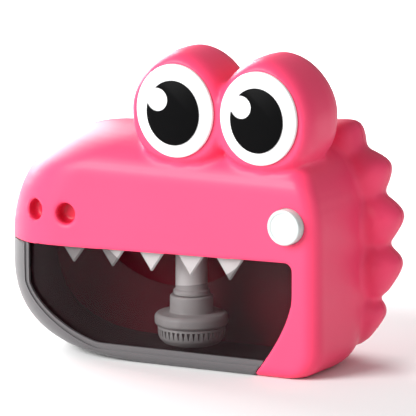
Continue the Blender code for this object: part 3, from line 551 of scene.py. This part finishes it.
def bulgeShape(centreX, inset):
    front, crown, back = bulge["frontY"] + inset, bulge["crownY"], bulge["backY"] - inset
    shares = (0, 0.01, 0.03, 0.06, 0.1, 0.15, 0.21, 0.3, 0.42, 0.6, 0.8)
    stations = [front + (crown - front) * share for share in shares]
    stations += [crown + (back - crown) * math.sin(math.radians(a)) for a in range(0, 89, 11)]
    rings = []
    for y in stations:
        if y < crown:
            size = quarter((crown - y) / bulge["frontReach"], bulge["frontPower"])
        else:
            size = quarter((y - crown) / (back - crown), 2)
        ring = []
        for i in range(72):
            angle = math.tau * i / 72
            top = angle < math.pi
            bend = 2 / (bulge["topPower"] if top else bulge["footPower"])
            halfHeight = (bulge["rise"] if top else bulge["drop"]) - inset
            across = math.copysign(abs(math.cos(angle)) ** bend, math.cos(angle))
            along = math.copysign(abs(math.sin(angle)) ** bend, math.sin(angle))
            ring.append((centreX + (bulge["halfWidth"] - inset) * size * across, y,
                         bulge["z"] + halfHeight * size * along))
        rings.append(ring)
    return loftShape(rings)


def spikeShape(tipX, tipZ, tilt, inset):
    turn = math.radians(tilt)
    outward = Vector((math.cos(turn), 0, math.sin(turn)))
    upward = Vector((-math.sin(turn), 0, math.cos(turn)))
    tip = Vector((tipX, head["seamY"], tipZ)) - outward * inset * 1.4
    narrowing = 1 - inset / spikes["baseRadius"]
    rings = []
    for depth, spread in spikes["stations"]:
        rise = math.sqrt(spikes["taper"] * spread ** 2 + 2 * spikes["tipRounding"] * spread) * narrowing
        side = spikes["halfDepth"] * quarter(1 - min(1.0, spread / spikes["dome"]), 2) * narrowing
        ring = []
        for i in range(40):
            angle = math.tau * i / 40
            point = tip - outward * depth + Vector((0, side * math.cos(angle), 0))
            ring.append(tuple(point + upward * rise * math.sin(angle)))
        rings.append(ring)
    return loftShape(rings)


def mouthLine(x):
    return mouth["z"] + (x - mouth["zAtX"]) * mouth["slope"]


def jawEdge(z):
    below = max(0.0, mouth["curveZ"] - z)
    return mouth["right"] - mouth["curveDrop"] * (below / mouth["curveSpan"]) ** mouth["curvePower"]


def jawOutline(inset, top=None):
    farLeft, radius = -140, mouth["corner"]
    right = mouth["right"] - inset
    if top is None:
        corner = (right - radius, mouthLine(right - radius) - inset - radius)
        points = [(farLeft, mouthLine(farLeft) - inset)] + arcPoints(corner, radius, radius, 90, 0, 10)
    else:
        points = [(farLeft, top), (right, top)]
    points += [(jawEdge(z) - inset, z) for z in range(50, -9, -3)]
    return points + [(farLeft, -8)]


casingWork = {"blendVoxel": 1.5, "creaseRounds": 10, "edgeVoxel": 1.1, "edgeRounds": 6}
nostrils = {"places": ((-61, 0), (-84, 19)), "z": 86.5, "radius": 6.2, "depth": 8.7, "dish": 8.6,
            "cup": 8.4, "cupDepth": 11.5}
backPanel = {
    "cupX": (-52, 55), "cupZ": (30, 92),
    "screws": ((-90, 82, 33), (-40, 112, 33), (90, 104, 33), (100.2, 44.3, 29)),
    "coverLow": (-31, 50), "coverHigh": (33, 108), "slotHalf": 1, "slotReach": 9, "slotPitch": 4.6,
}


def makeOuterForm():
    shapes = [casingShape(0)] + [bulgeShape(x, 0) for x in bulge["x"]]
    shapes += [spikeShape(*tip, 0) for tip in spikes["tips"]]
    form = makePiece("casing_form", *shapes)
    remesh(form, casingWork["blendVoxel"])
    relax(form, casingWork["creaseRounds"], creasesOnly=True)
    return relax(form, 10)


def makeHollow(name, withBulges):
    wall = head["wall"]
    shapes = [casingShape(wall)] + [spikeShape(*tip, wall) for tip in spikes["tips"]]
    if withBulges:
        shapes += [bulgeShape(x, wall) for x in bulge["x"]]
    return remesh(makePiece(name, *shapes), 2.0)


def nostrilFrame(x, turn):
    angle = math.radians(turn)
    facing = Vector((-math.sin(angle), -math.cos(angle), 0))
    startX = head["snoutCentre"] - head["snoutReach"] + head["snoutRadius"]
    y = -head["halfDepth"]
    if turn:
        y *= math.sqrt(1 - ((x - startX) / head["snoutRadius"]) ** 2)
    return Vector((x, y, nostrils["z"])), facing


def nostrilTool(x, turn):
    centre, facing = nostrilFrame(x, turn)
    radius, depth = nostrils["radius"], nostrils["depth"]
    profile = [(0, -depth), (radius - 1.6, -depth), (radius - 0.4, -depth + 1), (radius, -depth + 2.4),
               (radius, -1.5), (radius + 0.9, -0.5), (nostrils["dish"] - 1, 0.9), (nostrils["dish"] + 2, 4),
               (0, 4)]
    return turnedShape(profile, centre, facing, 48)


def makeFrontShell(form, hollow):
    shell = copyOf(form, "front_casing")
    for place in nostrils["places"]:
        carve(shell, makePiece("nostril_tool", nostrilTool(*place)))
    carve(shell, makePiece("mouth_tool", prismShape(jawOutline(0), -70, 60)))
    remesh(shell, casingWork["edgeVoxel"])
    relax(shell, casingWork["edgeRounds"])
    room = copyOf(hollow, "front_room")
    for x, turn in nostrils["places"]:
        centre, facing = nostrilFrame(x, turn)
        carve(room, makePiece("nostril_cup", rodShape(centre - facing * nostrils["cupDepth"], facing,
                                                    nostrils["cupDepth"] + 2, nostrils["cup"])))
    carve(shell, room)
    rear = boxShape((-150, head["seamY"] - head["gap"] / 2, -10), (160, 80, 220))
    carve(shell, makePiece("rear_half", rear))
    wide, narrow, ledge = button["pocketRadius"], button["radius"] + head["gap"], button["pocketY"]
    hole = turnedShape([(0, 34), (wide, 34), (wide, ledge), (narrow, ledge), (narrow, 60), (0, 60)],
                       (button["x"], 0, button["z"]), (0, -1, 0))
    carve(shell, makePiece("button_hole", hole))
    return dress(shell, "casing", "root", "pink_casing", "front_shell")


def capsuleOutline(centreX, centreZ, halfWidth, halfHeight):
    low = arcPoints((centreX, centreZ - halfHeight + halfWidth), halfWidth, halfWidth, 180, 360, 8)
    high = arcPoints((centreX, centreZ + halfHeight - halfWidth), halfWidth, halfWidth, 0, 180, 8)
    return low + high


def roundedOutline(lowX, lowZ, highX, highZ, radius, count=6):
    points = arcPoints((highX - radius, highZ - radius), radius, radius, 0, 90, count)
    points += arcPoints((lowX + radius, highZ - radius), radius, radius, 90, 180, count)
    points += arcPoints((lowX + radius, lowZ + radius), radius, radius, 180, 270, count)
    return points + arcPoints((highX - radius, lowZ + radius), radius, radius, 270, 360, count)


def makeRearShell(form, hollow):
    shell = copyOf(form, "rear_casing")
    room = copyOf(hollow, "rear_room")
    front = makePiece("front_half", boxShape((-150, -80, -10), (160, head["seamY"] + head["gap"] / 2, 220)))
    carve(shell, front)
    for x, z, _ in backPanel["screws"]:
        carve(room, makePiece("boss", rodShape((x, head["seamY"] - 1, z), (0, 1, 0), 40, 5)))
    carve(shell, room)
    (lowX, lowZ), (highX, highZ) = backPanel["coverLow"], backPanel["coverHigh"]
    bay = roundedOutline(lowX - 0.4, lowZ - 0.4, highX + 0.4, highZ + 0.4, 3.4)
    tools = [prismShape(bay, 40, 60)]
    for x, z, ledge in backPanel["screws"]:
        tools.append(turnedShape([(0, 20), (1.8, 20), (1.8, ledge), (3.4, ledge), (3.4, 60), (0, 60)],
                                 (x, 0, z), (0, 1, 0), 40))
    for x in backPanel["cupX"]:
        tools += [rodShape((x, 38, z), (0, 1, 0), 20, 3) for z in backPanel["cupZ"]]
        for i in range(5):
            slotX = x + (i - 2) * backPanel["slotPitch"]
            middleZ = sum(backPanel["cupZ"]) / 2
            slot = capsuleOutline(slotX, middleZ, backPanel["slotHalf"], backPanel["slotReach"])
            tools.append(prismShape(slot, 40, 60))
    carve(shell, makePiece("rear_tools", *tools))
    return dress(shell, "casing", "root", "pink_casing", "rear_shell")


button = {
    "x": 88.4, "z": 92.5, "radius": 10.8, "front": -52.6, "pocketRadius": 13.4, "pocketY": 44.4,
    "seal": ((11.5, 43.2), (12.9, 43.2), (12.9, 44.1), (11.5, 44.1)),
}

outerForm = makeOuterForm()
print("casing form:", len(outerForm.data.polygons), "faces")
frontHollow, rearHollow = makeHollow("front_hollow", True), makeHollow("rear_hollow", False)
makeFrontShell(outerForm, frontHollow)
print("front casing made")
makeRearShell(outerForm, rearHollow)
print("rear casing made")
for spare in (outerForm, frontHollow, rearHollow):
    bpy.data.objects.remove(spare, do_unlink=True)


jaw = {"windowLeft": -89, "windowFoot": 10, "cornerX": 51.5, "cornerZ": 32, "cornerPower": 1.4,
       "voxel": 0.9, "rounds": 4, "lip": 3.4, "lipDepth": 0.8}
tank = {"inset": 2.8, "wall": 2, "backY": 22.6, "outletX": 11.3, "outletLowZ": 49.2, "outletRadius": 66.7}


def windowOutline(grow=0):
    corner = (jaw["windowLeft"] + jaw["cornerX"], jaw["windowFoot"] + jaw["cornerZ"])
    bend = 2 / jaw["cornerPower"]
    outline = [(jaw["windowLeft"] - grow, 90)]
    for i in range(25):
        angle = math.radians(90 * i / 24)
        x = corner[0] - (jaw["cornerX"] + grow) * math.cos(angle) ** bend
        outline.append((x, corner[1] - (jaw["cornerZ"] + grow) * math.sin(angle) ** bend))
    return outline + [(120, jaw["windowFoot"] - grow), (120, 90)]


def makeJaw():
    piece = makePiece("jaw_band", casingShape(0))
    keep = prismShape(jawOutline(head["gap"]), -70, head["seamY"] - head["gap"])
    carve(piece, makePiece("jaw_keep", keep), "INTERSECT")
    carve(piece, makePiece("jaw_window", prismShape(windowOutline(), -70, -20)))
    remesh(piece, jaw["voxel"])
    relax(piece, jaw["rounds"])
    step = makePiece("jaw_step", prismShape(windowOutline(jaw["lip"]), -70, -10))
    carve(step, makePiece("jaw_core", casingShape(jaw["lipDepth"])))
    carve(piece, step)
    carve(piece, makePiece("jaw_room", casingShape(head["wall"])))
    return dress(piece, "jaw", "root", "jaw_grey", "jaw_shell")


def makeTank():
    piece = makePiece("smoked_window", casingShape(tank["inset"]))
    carve(piece, makePiece("tank_keep", prismShape(jawOutline(head["gap"]), -70, tank["backY"])), "INTERSECT")
    inside = makePiece("tank_inside", casingShape(tank["inset"] + tank["wall"]))
    room = prismShape(jawOutline(head["gap"] + tank["wall"], 90), -70, tank["backY"] - tank["wall"])
    carve(inside, makePiece("tank_room", room), "INTERSECT")
    carve(piece, inside)
    outlet = rodShape((tank["outletX"], -70, tank["outletLowZ"] + tank["outletRadius"]), (0, 1, 0), 45,
                      tank["outletRadius"], steps=180)
    carve(piece, makePiece("outlet_tool", outlet))
    return dress(piece, "smoke", "root", "smoked_tank", "tank")


makeJaw()
makeTank()
print("jaw and tank made")


teeth = {"firstX": -58, "pitch": 26.3, "count": 5, "halfWidth": 9.8, "tipZ": 56, "tipStep": 0.35,
         "baseZ": 69.4, "topZ": 71.3, "frontY": -41.6, "thickness": 2.0, "facet": 0.9}


def makeTeeth():
    outline = []
    for i in range(teeth["count"]):
        x = teeth["firstX"] + teeth["pitch"] * i
        outline += [(x - teeth["halfWidth"], teeth["baseZ"]), (x, teeth["tipZ"] - teeth["tipStep"] * i),
                    (x + teeth["halfWidth"], teeth["baseZ"])]
    left, right = outline[0][0] - 4, outline[-1][0] + 4
    low, high, front = teeth["baseZ"], teeth["topZ"], teeth["frontY"]
    outline += [(right, low), (right, high), (left, high), (left, low)]
    piece = makePiece("tooth_strip", prismShape(outline, front, front + teeth["thickness"]))
    edges = piece.modifiers.new("facets", "BEVEL")
    edges.width = teeth["facet"] * mm
    edges.segments = 1
    edges.limit_method = "ANGLE"
    edges.angle_limit = math.radians(40)
    settle(piece)
    return dress(piece, "tooth", "root", "tooth_grey_white", "teeth_strip", sharp=20)


makeTeeth()


eyes = {"x": {"left": 14.1, "right": 69.8}, "z": 155.4, "halfWidth": 25.4, "halfHeight": 28, "thickness": 2.3,
        "pupilWidth": 17.4, "pupilHeight": 19.4, "pupilThickness": 0.6, "pupilShift": (-0.6, -1.1),
        "biteShift": (-10.5, 7.4), "biteRadius": 7}


def ovalShape(centreX, centreZ, halfWidth, halfHeight, profile, steps=96):
    # profile holds (inset from the rim, y) pairs from the front to the back
    rings = []
    for inset, y in profile:
        ring = []
        for i in range(steps):
            angle = math.tau * i / steps
            ring.append((centreX + (halfWidth - inset) * math.cos(angle), y,
                         centreZ + (halfHeight - inset) * math.sin(angle)))
        rings.append(ring)
    return loftShape(rings)


def makeEyes():
    backY = bulge["frontY"] - head["gap"]
    frontY = backY - eyes["thickness"]
    for side, x in eyes["x"].items():
        rim = [(2.6, frontY), (1.2, frontY + 0.1), (0.5, frontY + 0.35), (0.12, frontY + 0.8),
               (0, frontY + 1.3), (0, backY - 0.15), (0.15, backY)]
        white = makePiece(f"eye_disc_{side}",
                          ovalShape(x, eyes["z"], eyes["halfWidth"], eyes["halfHeight"], rim))
        dress(white, "eyeWhite", "root", "eye_white", f"eye_white_{side}")
        middleX, middleZ = x + eyes["pupilShift"][0], eyes["z"] + eyes["pupilShift"][1]
        nearY, farY = frontY - head["gap"] - eyes["pupilThickness"], frontY - head["gap"]
        edge = [(0.35, nearY), (0.1, nearY + 0.1), (0, nearY + 0.3), (0, farY)]
        pupil = makePiece(f"eye_spot_{side}",
                          ovalShape(middleX, middleZ, eyes["pupilWidth"], eyes["pupilHeight"], edge))
        bite = rodShape((middleX + eyes["biteShift"][0], -60, middleZ + eyes["biteShift"][1]), (0, 1, 0), 20,
                        eyes["biteRadius"], steps=72)
        carve(pupil, makePiece("bite_tool", bite))
        dress(pupil, "gloss", "root", "black_gloss", f"eye_pupil_{side}")


makeEyes()
print("teeth and eyes made")


def makeButton():
    radius, front = button["radius"], -button["front"]
    profile = [(0, 39.4), (2.5, 39.4), (2.5, 41.4), (12.2, 41.4), (12.2, 42.9), (radius, 42.9),
               (radius, front - 1.3), (radius - 0.5, front - 0.3), (radius - 1.3, front),
               (radius - 2.1, front - 0.1), (radius - 2.6, front - 0.55), (radius - 3.4, front - 0.5),
               (3, front - 0.35), (0, front - 0.3)]
    cap = makePiece("button_cap", turnedShape(profile, (button["x"], 0, button["z"]), (0, -1, 0), 72))
    dress(cap, "button", "button", "eye_white", "power_button", sharp=40)
    seal = softened(list(button["seal"]), 0.3)
    ring = makePiece("button_ring", turnedShape(seal, (button["x"], 0, button["z"]), (0, -1, 0), 64))
    dress(ring, "rubber", "root", "seal_rubber", "button_seal")


makeButton()


nozzle = {
    "x": 4.7, "y": -9.4, "slots": 40,
    "tube": [(7.6, 37.6), (10.9, 37.6), (10.9, 40.2), (9.6, 41), (9.6, 76.6), (7.6, 76.6)],
    "collar": [(9, 19.1), (19.8, 19.1), (20.8, 18.9), (22.1, 20.2), (22.1, 24.4), (20.6, 26.4), (13.2, 26.8),
               (13, 28), (13, 36.4), (12.4, 37.2), (9, 37.2)],
    "bowl": [(0, 6.6), (11, 6.6), (16.5, 8), (19.3, 11), (20.2, 14.4), (20.2, 18.6), (18.2, 18.6), (18.2, 15),
             (17, 11.5), (14, 9.6), (0, 9.2)],
}


def slotShape(angle, inner, outer):
    # an upright slot that is wider at its top, pushed out along the radius
    outward = Vector((math.cos(angle), math.sin(angle), 0))
    sideways = Vector((-math.sin(angle), math.cos(angle), 0))
    rings = []
    for reach in (inner, outer):
        centre = Vector((nozzle["x"], nozzle["y"], 0)) + outward * reach
        ring = []
        for across, z in ((-0.25, 12.6), (0.25, 12.6), (0.95, 17), (-0.95, 17)):
            ring.append(tuple(centre + sideways * across + Vector((0, 0, z))))
        rings.append(ring)
    return loftShape(rings)


def makeNozzle():
    base, up = (nozzle["x"], nozzle["y"], 0), (0, 0, 1)
    tube = makePiece("air_pipe", turnedShape(softened(nozzle["tube"], 0.5), base, up))
    dress(tube, "nozzle", "root", "nozzle_grey", "air_tube")
    collar = makePiece("foam_cap", turnedShape(softened(nozzle["collar"], 0.7), base, up, 80))
    dress(collar, "nozzle", "foam_head", "nozzle_grey", "foam_collar")
    bowl = makePiece("foam_cup", turnedShape(softened(nozzle["bowl"], 1.2), base, up, 160))
    tools = [slotShape(math.tau * (i + 0.5) / nozzle["slots"], 16, 23) for i in range(nozzle["slots"])]
    carve(bowl, makePiece("slot_tools", *tools))
    dress(bowl, "nozzle", "foam_head", "nozzle_grey", "foam_bowl")


makeNozzle()
print("button and nozzle made")


coverLook = {"corner": 3, "screw": (1, 103.6), "ribs": 7, "ribPitch": 3.2}
screwLook = {"headRadius": 2.8, "threadPitch": 0.9, "crossHalf": 0.42, "crossReach": 1.7, "crossDepth": 0.7}
cupProfile = [(0, 42), (3.6, 42), (4.1, 43), (3.8, 44.1), (2.6, 44.1), (2.6, 47.3), (6, 47.3), (6, 50.4),
              (12, 52.4), (17, 55.6), (17, 56.6), (15, 56.6), (11, 54.6), (5, 53), (0, 52.6)]


def makeCover():
    (lowX, lowZ), (highX, highZ) = backPanel["coverLow"], backPanel["coverHigh"]
    rings = []
    for inset, y in ((0.25, 44.9), (0, 45.15), (0, 46.45), (0.16, 46.84), (0.55, 47)):
        low, high = (lowX + inset, lowZ + inset), (highX - inset, highZ - inset)
        rings.append([(x, y, z) for x, z in roundedOutline(*low, *high, coverLook["corner"])])
    cover = makePiece("battery_door", loftShape(rings))
    screwX, screwZ = coverLook["screw"]
    well = [(0, 40), (1.8, 40), (1.8, 45.75), (3.2, 45.75), (3.2, 46.7), (3.6, 47.3), (3.6, 50), (0, 50)]
    tools = [turnedShape(well, (screwX, 0, screwZ), (0, 1, 0), 40)]
    for i in range(coverLook["ribs"]):
        z = lowZ + 6 + i * coverLook["ribPitch"]
        half = 15 - i * 1.2
        groove = softened([(screwX - half, z - 0.55), (screwX + half, z - 0.55), (screwX + half, z + 0.55),
                           (screwX - half, z + 0.55)], 0.5)
        tools.append(prismShape(groove, 46.4, 48))
    carve(cover, makePiece("cover_tools", *tools))
    dress(cover, "casing", "cover", "pink_casing", "battery_cover")


def makeScrew(name, place, radius, length, body, replaced):
    rim, pitch = screwLook["headRadius"], screwLook["threadPitch"]
    profile = [(0, 0), (rim - 1.2, 0), (rim - 0.45, -0.12), (rim - 0.08, -0.42), (rim, -0.8), (rim, -1),
               (radius, -1)]
    turns = int((length - 2.4) / pitch)
    for i in range(turns):
        z = -1.3 - i * pitch
        profile += [(radius * 0.78, z - 0.2), (radius, z - 0.5), (radius * 0.78, z - 0.8)]
    profile += [(0.3, -length), (0, -length)]
    screw = makePiece(name, turnedShape(profile, place, (0, 1, 0), 32))
    half, reach, depth = screwLook["crossHalf"], screwLook["crossReach"], screwLook["crossDepth"]
    x, y, z = place
    for wide, tall in ((reach, half), (half, reach)):
        bar = boxShape((x - wide, y - depth, z - tall), (x + wide, y + 1, z + tall))
        carve(screw, makePiece("cross_tool", bar))
    dress(screw, "steel", body, "zinc_steel", replaced)


def makeBack():
    makeCover()
    screwX, screwZ = coverLook["screw"]
    makeScrew("door_screw", (screwX, 46.9, screwZ), 1.2, 11, "cover", "cover_screw")
    for i, (x, z, ledge) in enumerate(backPanel["screws"]):
        makeScrew(f"shell_screw_{i + 1}", (x, ledge + 1.4, z), 1.3, 16, "root", f"case_screw_{i + 1}")
    cupPlaces = [(x, 0, z) for z in backPanel["cupZ"] for x in backPanel["cupX"]]
    for number, place in enumerate(cupPlaces, 1):
        cup = makePiece(f"sucker_{number}", turnedShape(softened(cupProfile, 0.6), place, (0, 1, 0), 64))
        dress(cup, "vinyl", "root", "suction_vinyl", f"suction_cup_{number}")


makeBack()
print("back made")


# nodes that keep their own shape only get a finish
keptNodes = {
    # the mouth liner takes the darker red that is painted shade for the inside of the mouth
    "maroonShade": ("mouth_liner",),
    "matteBlack": ("battery_tray", "blower_cover", "blower_housing", "speaker", "tact_switch"),
    "nozzle": ("impeller",),
    "mesh": ("foam_mesh",),
    "rubber": ("cover_gasket",),
    "steel": ("button_spring", "contact_left", "contact_right", "motor"),
    "board": ("control_board",),
    "battery": ("battery_1", "battery_2", "battery_3"),
}
for finish, names in keptNodes.items():
    for name in names:
        for slot in nodes[name].material_slots:
            slot.material = finishes[finish]
print("kept nodes finished")
